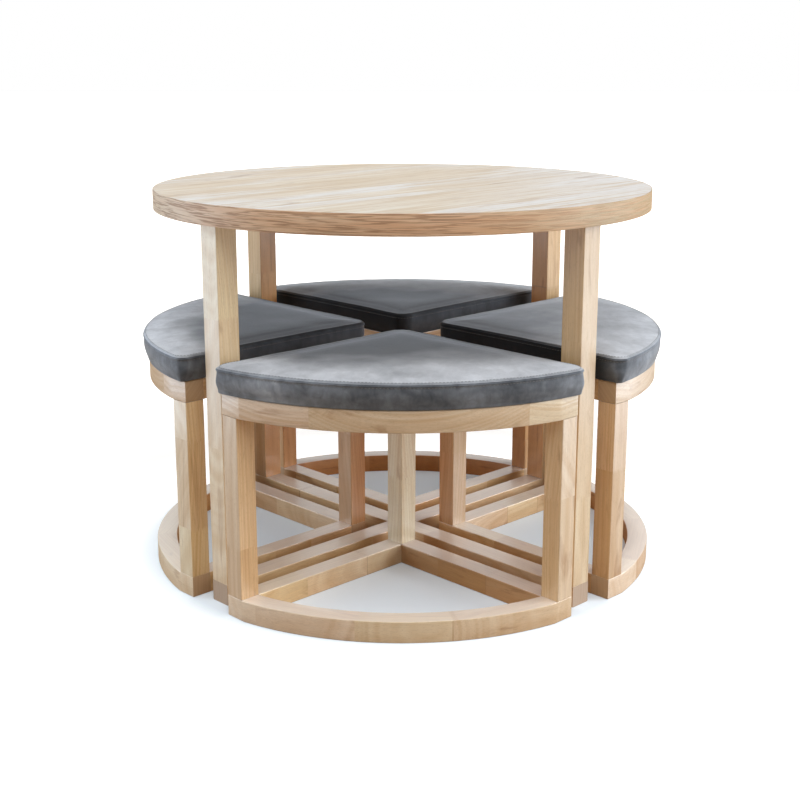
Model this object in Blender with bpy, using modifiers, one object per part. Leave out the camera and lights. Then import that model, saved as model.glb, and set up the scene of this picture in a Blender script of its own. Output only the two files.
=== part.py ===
"""Round dining table with four quarter-circle stools that nest under its top.

Metres, +Z up. The origin is on the floor under the middle of the table top. The table's legs
stand on the two diagonals and the stools fill the quarters between them, in front (-Y), at the
left (-X), at the right (+X) and at the back (+Y). Each stool slides straight out of its quarter.
"""

import math

import bmesh
import bpy
from mathutils import Matrix, Vector

# Table top
TABLE_HEIGHT = 0.750
TOP_RADIUS = 0.490
TOP_THICKNESS = 0.038
TOP_EDGE_ROUND = 0.0025

# Table legs and the cross of floor rails that they stand on
LEG_WIDTH = 0.045
LEG_INSET = 0.013
FLOOR_RAIL_HEIGHT = 0.040

# Stool frames, one board section for every bar
STOOL_BAR_WIDTH = 0.040
STOOL_BAR_HEIGHT = 0.040
STOOL_FRAME_TOP = 0.422
STOOL_SIDE_CLEARANCE = 0.0325
STOOL_REACH = 0.020
CURVE_LEDGE = 0.001

# Joinery
TENON_WIDTH = 0.022
TENON_LENGTH = 0.018
JOINT_GAP = 0.0003
ARRIS_ROUND = 0.0015
CUT_OVERRUN = 0.010
WELD_DISTANCE = 0.00001

# Seat board, wrapped by the cover of the cushion
BOARD_THICKNESS = 0.012
BOARD_INSET = 0.001
BOARD_POCKET_CLEARANCE = 0.0006

# Cushion
CUSHION_OVERHANG = 0.011
CUSHION_SIDE_HEIGHT = 0.045
CUSHION_CROWN = 0.010
CUSHION_APEX_RADIUS = 0.030
CUSHION_CORNER_RADIUS = 0.022
CUSHION_SIDE_PULL = 0.003
CUSHION_WAIST = 0.0025
CUSHION_BOTTOM_ROUND = 0.005
SEAM_RIDGE = 0.0015
SEAM_VALLEY = 0.005
CUSHION_LIFT = 0.0004
FLAT_CENTRE_INSET = 0.150

# How far the crown has risen at each inset, both as shares of the whole
CROWN_INSET_SHARES = (0.11, 0.30, 0.62, 1.0)
CROWN_RISE_SHARES = (0.42, 0.72, 0.94, 1.0)

# Counts
TOP_SEGMENTS = 128
CURVE_SEGMENTS = 24
CUSHION_SIDE_SEGMENTS = 6
CUSHION_ARC_SEGMENTS = 11
CUSHION_CORNER_SEGMENTS = 2
CUSHION_APEX_SEGMENTS = 3
CUSHION_SUBDIVISION = 1

# Sizes that follow from the ones above
RIGHT_ANGLE = math.pi / 2
LEG_OUTER_FACE = TOP_RADIUS - LEG_INSET
LEG_CENTRE = LEG_OUTER_FACE - LEG_WIDTH / 2
SIDE_LINE = LEG_WIDTH / 2 + STOOL_SIDE_CLEARANCE
SIDE_INNER = SIDE_LINE + STOOL_BAR_WIDTH
CURVE_RADIUS = TOP_RADIUS + STOOL_REACH
POST_OUTER_FACE = math.sqrt(CURVE_RADIUS**2 - SIDE_INNER**2) - CURVE_LEDGE
POST_INNER_FACE = POST_OUTER_FACE - STOOL_BAR_WIDTH
POST_NEAR = SIDE_LINE + STOOL_BAR_WIDTH / 2
POST_FAR = POST_OUTER_FACE - STOOL_BAR_WIDTH / 2
APRON_BOTTOM = STOOL_FRAME_TOP - STOOL_BAR_HEIGHT

# The way each stool slides out, as an angle from +X
STOOLS = {
    "front_stool": -RIGHT_ANGLE,
    "right_stool": 0.0,
    "back_stool": RIGHT_ANGLE,
    "left_stool": 2 * RIGHT_ANGLE,
}
LEGS = {
    "front_left_leg": -1.5 * RIGHT_ANGLE,
    "front_right_leg": -0.5 * RIGHT_ANGLE,
    "back_right_leg": 0.5 * RIGHT_ANGLE,
    "back_left_leg": 1.5 * RIGHT_ANGLE,
}


def clear_scene():
    for obj in list(bpy.data.objects):
        bpy.data.objects.remove(obj, do_unlink=True)


def new_collection(name):
    collection = bpy.data.collections.new(name)
    bpy.context.scene.collection.children.link(collection)
    return collection


def make_material(name, colour, roughness, metallic=0.0):
    material = bpy.data.materials.new(name)
    material.use_nodes = True
    shader = material.node_tree.nodes["Principled BSDF"]
    shader.inputs["Base Color"].default_value = (*colour, 1.0)
    shader.inputs["Roughness"].default_value = roughness
    shader.inputs["Metallic"].default_value = metallic
    return material


def add_object(name, mesh, collection, material=None, parent=None):
    obj = bpy.data.objects.new(name, mesh)
    collection.objects.link(obj)
    if material is not None:
        mesh.materials.clear()
        mesh.materials.append(material)
    if parent is not None:
        obj.parent = parent
    return obj


def box_bmesh(low, high):
    """A box between two corners, grown from a unit cube."""
    low, high = Vector(low), Vector(high)
    bm = bmesh.new()
    bmesh.ops.create_cube(bm, size=1.0)
    bmesh.ops.scale(bm, vec=high - low, verts=bm.verts)
    bmesh.ops.translate(bm, vec=(low + high) / 2, verts=bm.verts)
    return bm


def mark_arrises(bm, wanted):
    """Sets a full bevel weight on the edges that are rounded over."""
    weights = bm.edges.layers.float.new("bevel_weight_edge")
    for edge in bm.edges:
        edge[weights] = 1.0 if wanted(edge) else 0.0


def along(axis):
    """A test for edges that run along one axis."""

    def test(edge):
        direction = (edge.verts[1].co - edge.verts[0].co).normalized()
        return abs(direction[axis]) > 0.999

    return test


def mesh_from(bm, name):
    mesh = bpy.data.meshes.new(name)
    bmesh.ops.recalc_face_normals(bm, faces=bm.faces)
    bm.to_mesh(mesh)
    bm.free()
    return mesh


def finished_mesh(name, mesh, cutters=(), round_over=ARRIS_ROUND):
    """The mesh with its marked arrises rounded over and each cutter's box taken out."""
    piece = add_object(name + "_blank", mesh, PARTS)
    rounding = piece.modifiers.new("arris", "BEVEL")
    rounding.width = round_over
    rounding.segments = 2
    rounding.limit_method = "WEIGHT"
    tools = []
    for count, (low, high) in enumerate(cutters):
        tool_name = f"{name}_cutter_{count}"
        tool = add_object(tool_name, mesh_from(box_bmesh(low, high), tool_name), CUTTERS)
        tool.hide_render = True
        tool.display_type = "WIRE"
        cut = piece.modifiers.new(f"cut_{count}", "BOOLEAN")
        cut.operation = "DIFFERENCE"
        cut.solver = "EXACT"
        cut.object = tool
        tools.append(tool)
    bpy.context.view_layer.update()
    graph = bpy.context.evaluated_depsgraph_get()
    result = bpy.data.meshes.new_from_object(piece.evaluated_get(graph))
    result.name = name
    for spent in (piece, *tools):
        bpy.data.objects.remove(spent, do_unlink=True)
    return result


def mortise(x, y, mouth, depth_sign):
    """The box that cuts a mortise at (x, y), from its mouth's height down (-1) or up (+1)."""
    half = TENON_WIDTH / 2 + JOINT_GAP
    floor = mouth + depth_sign * (TENON_LENGTH + JOINT_GAP)
    above = mouth - depth_sign * CUT_OVERRUN
    low = (x - half, y - half, min(floor, above))
    high = (x + half, y + half, max(floor, above))
    return low, high


def tenoned_post(name, width, bottom, top):
    """A square post with its axis on Z and a stub tenon on both ends."""
    half = width / 2
    bm = box_bmesh((-half, -half, bottom), (half, half, top))
    for end in (-1, 1):
        face = next(f for f in bm.faces if f.normal.z * end > 0.999)
        shoulder = (width - TENON_WIDTH) / 2
        bmesh.ops.inset_region(bm, faces=[face], thickness=shoulder, use_even_offset=True)
        tip = bmesh.ops.extrude_discrete_faces(bm, faces=[face])["faces"][0]
        bmesh.ops.translate(bm, vec=(0, 0, end * TENON_LENGTH), verts=tip.verts)
    corner = along(2)
    mark_arrises(bm, lambda e: corner(e) and abs(abs(e.verts[0].co.x) - half) < WELD_DISTANCE)
    return finished_mesh(name, mesh_from(bm, name))


def rail_mesh(name, low, high, axis, cutters=()):
    """A straight bar between two corners, with its long arrises rounded over."""
    bm = box_bmesh(low, high)
    mark_arrises(bm, along(axis))
    return finished_mesh(name, mesh_from(bm, name), cutters)


def arc_points(radius, start, end, segments):
    steps = [start + (end - start) * i / segments for i in range(segments + 1)]
    return [(radius * math.cos(a), radius * math.sin(a)) for a in steps]


def flat_outline_mesh(name, points, bottom, top):
    """A flat board of this outline, made as a filled 2D curve with thickness."""
    curve = bpy.data.curves.new(name, "CURVE")
    curve.dimensions = "2D"
    curve.fill_mode = "BOTH"
    curve.extrude = (top - bottom) / 2
    spline = curve.splines.new("POLY")
    spline.points.add(len(points) - 1)
    for target, (x, y) in zip(spline.points, points):
        target.co = (x, y, 0.0, 1.0)
    spline.use_cyclic_u = True
    holder = add_object(name + "_outline", curve, PARTS)
    holder.location.z = (top + bottom) / 2
    bpy.context.view_layer.update()
    graph = bpy.context.evaluated_depsgraph_get()
    mesh = bpy.data.meshes.new_from_object(holder.evaluated_get(graph))
    mesh.transform(holder.matrix_world)
    bpy.data.objects.remove(holder, do_unlink=True)
    bm = bmesh.new()
    bm.from_mesh(mesh)
    bmesh.ops.remove_doubles(bm, verts=bm.verts, dist=WELD_DISTANCE)
    bmesh.ops.dissolve_limit(bm, angle_limit=math.radians(0.05), verts=bm.verts, edges=bm.edges)

    def cap_edge(edge):
        level = abs(edge.verts[0].co.z - edge.verts[1].co.z) < WELD_DISTANCE
        faces = edge.link_faces
        return level and len(faces) == 2 and abs(faces[0].normal.dot(faces[1].normal)) < 0.5

    bmesh.ops.recalc_face_normals(bm, faces=bm.faces)
    mark_arrises(bm, cap_edge)
    bpy.data.meshes.remove(mesh)
    return mesh_from(bm, name)


def curved_rail_outline():
    """The quarter curve between two square end blocks, in the stool's own axes.

    The stool's straight sides lie along +X and +Y there, and its curve is centred on the origin.
    Each end block is planed flush with the outer face of the post that stands on it.
    """
    start = math.acos(POST_OUTER_FACE / CURVE_RADIUS)
    inner_radius = CURVE_RADIUS - STOOL_BAR_WIDTH
    inner_start = math.asin(SIDE_INNER / inner_radius)
    points = [(POST_INNER_FACE, SIDE_LINE), (POST_OUTER_FACE, SIDE_LINE)]
    points += arc_points(CURVE_RADIUS, start, RIGHT_ANGLE - start, CURVE_SEGMENTS)
    points += [(SIDE_LINE, POST_OUTER_FACE), (SIDE_LINE, POST_INNER_FACE)]
    inner = arc_points(inner_radius, RIGHT_ANGLE - inner_start, inner_start, CURVE_SEGMENTS)
    return points + inner


def board_outline():
    """The seat board, a little inside the frame's outer outline."""
    side = SIDE_LINE + BOARD_INSET
    face = POST_OUTER_FACE - BOARD_INSET
    radius = CURVE_RADIUS - BOARD_INSET
    start = math.acos(face / radius)
    points = [(side, side), (face, side)]
    points += arc_points(radius, start, RIGHT_ANGLE - start, CURVE_SEGMENTS)
    return points + [(side, face)]


def sector_ring(inset, height):
    """One closed ring of the cushion, this far inside its largest outline.

    It runs along the +X side, round the arc and back down the +Y side to the rounded apex.
    The straight sides pull in a little at their middle.
    """
    side = SIDE_LINE - CUSHION_OVERHANG + inset
    radius = CURVE_RADIUS + CUSHION_OVERHANG - inset
    corner = max(CUSHION_CORNER_RADIUS - inset, CUSHION_CORNER_RADIUS / 3)
    apex = max(CUSHION_APEX_RADIUS - inset, CUSHION_APEX_RADIUS / 3)
    corner_x = math.sqrt((radius - corner) ** 2 - (side + corner) ** 2)
    corner_angle = math.atan2(side + corner, corner_x)
    half = []
    for i in range(CUSHION_SIDE_SEGMENTS):
        share = i / CUSHION_SIDE_SEGMENTS
        x = side + apex + (corner_x - side - apex) * share
        half.append((x, side + CUSHION_SIDE_PULL * math.sin(math.pi * share)))
    for i in range(CUSHION_CORNER_SEGMENTS):
        turn = -RIGHT_ANGLE + (corner_angle + RIGHT_ANGLE) * i / CUSHION_CORNER_SEGMENTS
        half.append((corner_x + corner * math.cos(turn), side + corner + corner * math.sin(turn)))
    arc = arc_points(radius, corner_angle, RIGHT_ANGLE - corner_angle, CUSHION_ARC_SEGMENTS)
    mirrored = [(y, x) for x, y in reversed(half)]
    tip = []
    for i in range(1, CUSHION_APEX_SEGMENTS):
        turn = 2 * RIGHT_ANGLE + RIGHT_ANGLE * i / CUSHION_APEX_SEGMENTS
        tip.append((side + apex + apex * math.cos(turn), side + apex + apex * math.sin(turn)))
    return [(x, y, height) for x, y in half + arc + mirrored + tip]


def cushion_mesh(name):
    """A boxed cushion: a waisted side, a seam ridge round the top and a crowned panel.

    It is a coarse cage of rings that a subdivision rounds off. Its underside has the pocket
    that the seat board sits in, so that the cover hides the board's edge.
    """
    bottom = STOOL_FRAME_TOP + CUSHION_LIFT
    seam = STOOL_FRAME_TOP + CUSHION_SIDE_HEIGHT
    rings = [
        (CUSHION_OVERHANG, bottom),
        (CUSHION_BOTTOM_ROUND, bottom),
        (0.0, bottom + CUSHION_BOTTOM_ROUND),
        (CUSHION_WAIST, (bottom + seam) / 2),
        (-SEAM_RIDGE, seam),
        (SEAM_VALLEY, seam + SEAM_RIDGE),
    ]
    for inset_share, rise_share in zip(CROWN_INSET_SHARES, CROWN_RISE_SHARES):
        rings.append((FLAT_CENTRE_INSET * inset_share, seam + CUSHION_CROWN * rise_share))
    bm = bmesh.new()
    loops = [[bm.verts.new(p) for p in sector_ring(*ring)] for ring in rings]
    for lower, upper in zip(loops, loops[1:]):
        count = len(lower)
        for i in range(count):
            after = (i + 1) % count
            bm.faces.new((lower[i], lower[after], upper[after], upper[i]))
    bm.faces.new(list(reversed(loops[0])))
    bm.faces.new(loops[-1])
    cage = add_object(name + "_cage", mesh_from(bm, name + "_cage"), PARTS)
    rounding = cage.modifiers.new("rounding", "SUBSURF")
    rounding.levels = CUSHION_SUBDIVISION
    rounding.render_levels = CUSHION_SUBDIVISION

    clear = BOARD_POCKET_CLEARANCE
    pocket_top = STOOL_FRAME_TOP + JOINT_GAP + BOARD_THICKNESS + clear
    side = SIDE_LINE + BOARD_INSET - clear
    face = POST_OUTER_FACE - BOARD_INSET + clear
    radius = CURVE_RADIUS - BOARD_INSET + clear
    start = math.acos(face / radius)
    outline = [(side, side), (face, side)]
    outline += arc_points(radius, start, RIGHT_ANGLE - start, CURVE_SEGMENTS)
    outline += [(side, face)]
    pocket = flat_outline_mesh(name + "_pocket", outline, bottom - CUT_OVERRUN, pocket_top)
    tool = add_object(name + "_pocket", pocket, CUTTERS)
    tool.hide_render = True
    tool.display_type = "WIRE"
    cut = cage.modifiers.new("pocket", "BOOLEAN")
    cut.operation = "DIFFERENCE"
    cut.solver = "EXACT"
    cut.object = tool
    bpy.context.view_layer.update()
    graph = bpy.context.evaluated_depsgraph_get()
    result = bpy.data.meshes.new_from_object(cage.evaluated_get(graph))
    result.name = name
    for spent in (cage, tool):
        bpy.data.objects.remove(spent, do_unlink=True)
    return result


def shade(mesh, angle):
    mesh.shade_smooth()
    mesh.set_sharp_from_angle(angle=math.radians(angle))


def build_table():
    """The top, four legs tenoned at both ends and the half-lapped cross that they stand on."""
    underside = TABLE_HEIGHT - TOP_THICKNESS
    bm = bmesh.new()
    bmesh.ops.create_cone(
        bm,
        cap_ends=True,
        segments=TOP_SEGMENTS,
        radius1=TOP_RADIUS,
        radius2=TOP_RADIUS,
        depth=TOP_THICKNESS,
    )
    bmesh.ops.rotate(bm, verts=bm.verts, matrix=Matrix.Rotation(RIGHT_ANGLE / 2, 3, "Z"))
    bmesh.ops.translate(bm, verts=bm.verts, vec=(0, 0, TABLE_HEIGHT - TOP_THICKNESS / 2))
    mark_arrises(bm, lambda e: any(abs(f.normal.z) > 0.999 for f in e.link_faces))
    reach = LEG_CENTRE
    legs_at = [(reach, 0), (0, reach), (-reach, 0), (0, -reach)]
    sockets = [mortise(x, y, underside, 1) for x, y in legs_at]
    top = finished_mesh("table_top", mesh_from(bm, "table_top"), sockets, TOP_EDGE_ROUND)
    shade(top, 40)
    disc = add_object("table_top", top, PARTS, OAK)
    disc.rotation_euler.z = RIGHT_ANGLE / 2

    leg_bottom = FLOOR_RAIL_HEIGHT + JOINT_GAP
    leg = tenoned_post("table_leg", LEG_WIDTH, leg_bottom, underside - JOINT_GAP)
    for name, angle in LEGS.items():
        obj = add_object(name, leg, PARTS, BEECH)
        obj.location = (LEG_CENTRE * math.cos(angle), LEG_CENTRE * math.sin(angle), 0.0)
        obj.rotation_euler.z = angle

    half = LEG_WIDTH / 2
    middle = FLOOR_RAIL_HEIGHT / 2
    notch = half + JOINT_GAP
    halves = {
        "floor_rail_a": (middle - JOINT_GAP / 2, FLOOR_RAIL_HEIGHT + CUT_OVERRUN, LEGS["front_left_leg"]),
        "floor_rail_b": (-CUT_OVERRUN, middle + JOINT_GAP / 2, LEGS["front_right_leg"]),
    }
    for name, (notch_low, notch_high, angle) in halves.items():
        ends = [mortise(side * LEG_CENTRE, 0, FLOOR_RAIL_HEIGHT, -1) for side in (-1, 1)]
        lap = ((-notch, -half - CUT_OVERRUN, notch_low), (notch, half + CUT_OVERRUN, notch_high))
        low = (-LEG_OUTER_FACE, -half, 0.0)
        high = (LEG_OUTER_FACE, half, FLOOR_RAIL_HEIGHT)
        rail = rail_mesh(name, low, high, 0, [*ends, lap])
        obj = add_object(name, rail, PARTS, BEECH)
        obj.rotation_euler.z = angle


def stool_meshes():
    """Every piece of one stool in its own axes, as name: (mesh, material, place)."""
    gap = JOINT_GAP
    outline = curved_rail_outline()
    post_places = {
        "post_apex": (POST_NEAR, POST_NEAR),
        "post_long_end": (POST_FAR, POST_NEAR),
        "post_short_end": (POST_NEAR, POST_FAR),
    }
    pieces = {}
    for frame, bottom, mouth, sign in (
        ("base", 0.0, STOOL_BAR_HEIGHT, -1),
        ("apron", APRON_BOTTOM, APRON_BOTTOM, 1),
    ):
        top = bottom + STOOL_BAR_HEIGHT
        blank = flat_outline_mesh(frame + "_curve", outline, bottom, top)
        ends = [mortise(*post_places[end], mouth, sign) for end in ("post_long_end", "post_short_end")]
        curve = finished_mesh(frame + "_curve", blank, ends)
        shade(curve, 30)
        pieces[frame + "_curve"] = (curve, BEECH, (0.0, 0.0))
        low = (SIDE_LINE, SIDE_LINE, bottom)
        high = (POST_INNER_FACE - gap, SIDE_INNER, top)
        apex = [mortise(*post_places["post_apex"], mouth, sign)]
        long_rail = rail_mesh(frame + "_rail_long", low, high, 0, apex)
        pieces[frame + "_rail_long"] = (long_rail, BEECH, (0.0, 0.0))
        low = (SIDE_LINE, SIDE_INNER + gap, bottom)
        high = (SIDE_INNER, POST_INNER_FACE - gap, top)
        short_rail = rail_mesh(frame + "_rail_short", low, high, 1)
        pieces[frame + "_rail_short"] = (short_rail, BEECH, (0.0, 0.0))
    post = tenoned_post("stool_post", STOOL_BAR_WIDTH, STOOL_BAR_HEIGHT + gap, APRON_BOTTOM - gap)
    for name, place in post_places.items():
        pieces[name] = (post, BEECH, place)
    board_bottom = STOOL_FRAME_TOP + gap
    board = flat_outline_mesh("seat_board", board_outline(), board_bottom, board_bottom + BOARD_THICKNESS)
    pieces["seat_board"] = (board, PLYWOOD, (0.0, 0.0))
    cushion = cushion_mesh("cushion")
    shade(cushion, 60)
    pieces["cushion"] = (cushion, SUEDE, (0.0, 0.0))
    return pieces


def build_stools():
    """Four equal stools, each under an empty that holds its place and its way out."""
    pieces = stool_meshes()
    for stool, heading in STOOLS.items():
        carrier = bpy.data.objects.new(stool + "_slide", None)
        PARTS.objects.link(carrier)
        carrier.rotation_euler.z = heading - RIGHT_ANGLE / 2
        for name, (mesh, material, (x, y)) in pieces.items():
            obj = add_object(f"{stool}_{name}", mesh, PARTS, material, carrier)
            obj.location = (x, y, 0.0)


clear_scene()
PARTS = new_collection("nesting_table_set")
CUTTERS = new_collection("cutters")
OAK = make_material("oak_top", (0.66, 0.50, 0.36), 0.45)
BEECH = make_material("oiled_beech", (0.68, 0.48, 0.30), 0.50)
PLYWOOD = make_material("birch_plywood", (0.60, 0.46, 0.30), 0.65)
SUEDE = make_material("grey_suede", (0.12, 0.13, 0.14), 0.90)
build_table()
build_stools()
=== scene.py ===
# %% [markdown]
# # A round dining table and the four stools that nest under it
#
# The construction of this set is fixed: every rail, post and leg arrives as a solid of its real
# size, and this lesson gives it the looks of the real thing. Bars whose shape is right keep their
# solid and only get wood. The round top and the curved rails are modelled again with a finer curve,
# and the seats are upholstered with a cloth simulation.

import math
import random

import bmesh
import bpy
from mathutils import Matrix, Vector, noise
from mathutils.bvhtree import BVHTree


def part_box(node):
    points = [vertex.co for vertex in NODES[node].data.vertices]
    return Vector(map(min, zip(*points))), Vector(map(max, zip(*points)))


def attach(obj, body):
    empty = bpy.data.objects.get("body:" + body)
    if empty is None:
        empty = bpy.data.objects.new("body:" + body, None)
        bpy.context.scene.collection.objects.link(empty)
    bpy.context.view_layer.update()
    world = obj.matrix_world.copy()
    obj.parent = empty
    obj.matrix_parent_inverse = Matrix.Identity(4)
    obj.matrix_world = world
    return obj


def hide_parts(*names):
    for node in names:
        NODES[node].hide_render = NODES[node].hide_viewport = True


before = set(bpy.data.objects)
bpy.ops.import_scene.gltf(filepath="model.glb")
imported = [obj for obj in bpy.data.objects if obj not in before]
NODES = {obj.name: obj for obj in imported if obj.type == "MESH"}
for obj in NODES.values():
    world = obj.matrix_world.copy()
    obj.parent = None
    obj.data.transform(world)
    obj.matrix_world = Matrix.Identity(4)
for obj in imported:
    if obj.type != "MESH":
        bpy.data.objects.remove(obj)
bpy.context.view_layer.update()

# %% [markdown]
# ## Sizes, read from the solids
#
# Nothing is typed twice. A stool is measured in its own axes, with its two straight sides along +X
# and +Y and its curve centred on the origin, so the same numbers serve all four stools. The four
# differ only in the way that they slide out, which is a turn about Z.

# %% Measure a stool and the table
QUARTER = math.pi / 2
STOOLS = {
    "front_stool": -QUARTER,
    "right_stool": 0.0,
    "back_stool": QUARTER,
    "left_stool": 2 * QUARTER,
}


def about_z(angle):
    return Matrix.Rotation(angle, 4, "Z")


def stool_turn(heading):
    """Turns a stool's own axes into the set's."""
    return about_z(heading - QUARTER / 2)


def own_points(piece):
    """The corners of one of the right stool's solids, in the stool's own axes."""
    back = stool_turn(STOOLS["right_stool"]).inverted()
    return [back @ v.co for v in NODES["right_stool_" + piece].data.vertices]


rail_points = own_points("base_rail_long")
curve_points = own_points("base_curve")
SIDE_LINE = min(p.y for p in rail_points)
BAR = max(p.y for p in rail_points) - SIDE_LINE
CURVE_RADIUS = max(p.xy.length for p in curve_points)
POST_FACE = max(p.x for p in curve_points)
top_low, top_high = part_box("table_top")
TOP_RADIUS = top_high.x
print(f"stool side line {SIDE_LINE:.4f}, bar {BAR:.4f}, curve radius {CURVE_RADIUS:.4f}")
print(f"post face {POST_FACE:.4f}, top radius {TOP_RADIUS:.4f}")

# %% [markdown]
# ## The camera
#
# The picture is taken from a little above table height with a longish lens, from almost straight in
# front, and looks down by about fourteen degrees.

# %% Place the camera
CAMERA_PLACE = Vector((0.031, -2.650, 1.010))
CAMERA_TURN = math.radians(0.77)
CAMERA_TILT = math.radians(13.78)
LENS = 59.58
SENSOR = 36.0
LENS_SHIFT = -0.032


def linked(name, data):
    """A new object, linked into the scene."""
    made = bpy.data.objects.new(name, data)
    bpy.context.scene.collection.objects.link(made)
    return made


camera_data = bpy.data.cameras.new("camera")
camera_data.lens = LENS
camera_data.sensor_width = SENSOR
camera_data.shift_y = LENS_SHIFT
camera_data.clip_end = 60.0
camera = linked("camera", camera_data)
camera.location = CAMERA_PLACE
camera.rotation_euler = (QUARTER - CAMERA_TILT, 0.0, CAMERA_TURN)
bpy.context.scene.camera = camera
bpy.context.scene.view_settings.view_transform = "Standard"
print("camera", tuple(camera.location), "lens", LENS)

# %% [markdown]
# ## Wiring shader nodes
#
# Every finish below is a small network of shader nodes. Written out in full, such a network is
# mostly bookkeeping, so this helper adds a node, fills its sockets and wires it in one line. A
# socket is filled with a number, a colour, or the output of another node. Most layers are
# stretched noise, and these have helpers of their own.

# %% A helper for shader nodes
BUMP_DEPTH = 0.00025


class Wiring:
    """Adds nodes to one node tree and wires them as they are added."""

    def __init__(self, tree):
        self.tree = tree

    def fill(self, socket, value):
        if isinstance(value, bpy.types.NodeSocket):
            self.tree.links.new(value, socket)
        elif value is not None:
            socket.default_value = (*value, 1.0) if socket.type == "RGBA" else value

    def add(self, kind, inputs, **settings):
        """Adds a node and gives its outputs."""
        made = self.tree.nodes.new(kind)
        for name, value in settings.items():
            setattr(made, name, value)
        for name, value in inputs.items():
            self.fill(made.inputs[name], value)
        return made.outputs

    def maths(self, operation, first, second=None, third=None):
        inputs = {0: first, 1: second, 2: third}
        return self.add("ShaderNodeMath", inputs, operation=operation)[0]

    def times(self, first, second):
        return self.maths("MULTIPLY", first, second)

    def vector(self, operation, first, second=None):
        """Vector maths. A length or a dot product comes out as a number."""
        outputs = self.add("ShaderNodeVectorMath", {0: first, 1: second}, operation=operation)
        return outputs["Value" if operation in ("LENGTH", "DOT_PRODUCT") else "Vector"]

    def scaled(self, vector, factor):
        inputs = {0: vector, "Scale": factor}
        return self.add("ShaderNodeVectorMath", inputs, operation="SCALE")[0]

    def span(self, vector, axes):
        """The length of a vector along some of the axes."""
        return self.vector("LENGTH", self.vector("MULTIPLY", vector, axes))

    def split(self, vector):
        return self.add("ShaderNodeSeparateXYZ", {0: vector})

    def turned(self, vector, angles, kind="POINT"):
        inputs = {"Vector": vector, "Rotation": angles}
        return self.add("ShaderNodeMapping", inputs, vector_type=kind)[0]

    def within(self, value, low, high, to_low=0.0, to_high=1.0):
        """Maps low..high to to_low..to_high, and stops at the ends."""
        ends = {"From Min": low, "From Max": high, "To Min": to_low, "To Max": to_high}
        return self.add("ShaderNodeMapRange", {"Value": value, **ends})["Result"]

    def noise(self, vector, scale, detail=2.0, distortion=0.0, output="Fac"):
        """Noise from 0 to 1, with its scale given per metre along each axis."""
        placed = self.add("ShaderNodeMapping", {"Vector": vector, "Scale": scale})[0]
        inputs = {"Vector": placed, "Scale": 1.0, "Detail": detail, "Distortion": distortion}
        return self.add("ShaderNodeTexNoise", inputs)[output]

    def layer(self, vector, scale, detail, distortion, low, high):
        """Noise whose range low..high is drawn out to 0..1."""
        return self.within(self.noise(vector, scale, detail, distortion), low, high)

    def mix(self, factor, first, second, blend="MIX"):
        inputs = {0: factor, 6: first, 7: second}
        return self.add("ShaderNodeMix", inputs, data_type="RGBA", blend_type=blend)[2]

    def coats(self, colour, *coats):
        """Lays coats over a colour. Each says where it lies, how strongly, and its colour."""
        for where, strength, coat in coats:
            colour = self.mix(self.times(where, strength), colour, coat)
        return colour

    def tint(self, colour, by):
        return self.mix(1.0, colour, by, "MULTIPLY")

    def shade(self, colour, value):
        """Multiplies all three channels of a colour by a number."""
        grey = self.add("ShaderNodeCombineColor", {0: value, 1: value, 2: value})[0]
        return self.tint(colour, grey)

    def steps(self, value, stops):
        """The channels of a ramp that jumps from stop to stop, each a share and a colour."""
        made = self.tree.nodes.new("ShaderNodeValToRGB")
        self.fill(made.inputs["Fac"], value)
        ramp = made.color_ramp
        ramp.interpolation = "CONSTANT"
        while len(ramp.elements) < len(stops):
            ramp.elements.new(1.0)
        for element, (share, shade) in zip(ramp.elements, stops):
            element.position = share
            element.color = (*shade, 1.0)
        return self.add("ShaderNodeSeparateColor", {"Color": made.outputs["Color"]})

    def finish(self, shader, colour, roughness, height, bump, depth=BUMP_DEPTH):
        """Fills a shader's colour and roughness, and bumps it by a height."""
        self.fill(shader.inputs["Base Color"], colour)
        self.fill(shader.inputs["Roughness"], roughness)
        inputs = {"Height": height, "Strength": bump, "Distance": depth}
        self.fill(shader.inputs["Normal"], self.add("ShaderNodeBump", inputs)[0])


def new_material(name, plain=None):
    """A material, its wiring and its shader, with the numbers that hold all over it."""
    material = bpy.data.materials.new(name)
    material.use_nodes = True
    shader = material.node_tree.nodes["Principled BSDF"]
    wiring = Wiring(material.node_tree)
    for socket, value in (plain or {}).items():
        wiring.fill(shader.inputs[socket], value)
    return material, wiring, shader


# %% [markdown]
# ## Beech
#
# The bars are glued up from short blocks of beech. A solid texture suits them: the colour of each
# point depends on how far it lies from the heart of the tree, so the streaks on two neighbouring
# faces meet at the edge as in real timber, and the end of a bar shows arcs. The group takes points
# in metres with X along the grain.

# %% The grain of beech, as a node group
BEECH_PALE = (0.80, 0.63, 0.43)
BEECH_MID = (0.62, 0.415, 0.23)
BEECH_BROWN = (0.36, 0.19, 0.09)
END_DARK, END_LIGHT = (0.46, 0.32, 0.21), (0.5008, 0.3572, 0.2364)
BLOCK_HUES = (1.01, 0.98, 0.98), (1.00, 1.01, 0.90)
BLOCK_TONES = (1.15, 1.22, 1.30), (0.72, 0.54, 0.40)
# Painted glare: faces that look up are mixed towards this near white.
PAINTED_GLARE_WHITE = (0.90, 0.89, 0.88)
# Painted light and shade: faces that look out of the set are tinted paler, and faces that look in
# towards its middle a deeper brown.
OUTWARD_PAINTED_LIGHT = (0.95, 1.06, 1.27)
SIDEWAYS_PAINTED_TINT = (1.00, 0.97, 0.88)
INWARD_PAINTED_SHADE = (0.98, 0.72, 0.49)
RING_SPACING = 0.0042
HEART_OFFSET = (0.0, 0.040, -0.030)
HEART_LEAN = 0.10
HEART_WANDER = 0.030
GRAIN_WANDER = 0.014
BLOCK_SPREAD = (3.7, 1.9, 2.3)
GROUP_INPUTS = {"Point": "Vector", "Normal": "Vector"}
GROUP_INPUTS.update({name: "Float" for name in ("Block", "Tone", "Outward", "Upward")})
GROUP_OUTPUTS = {"Colour": "Color", "Roughness": "Float", "Height": "Float"}


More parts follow.
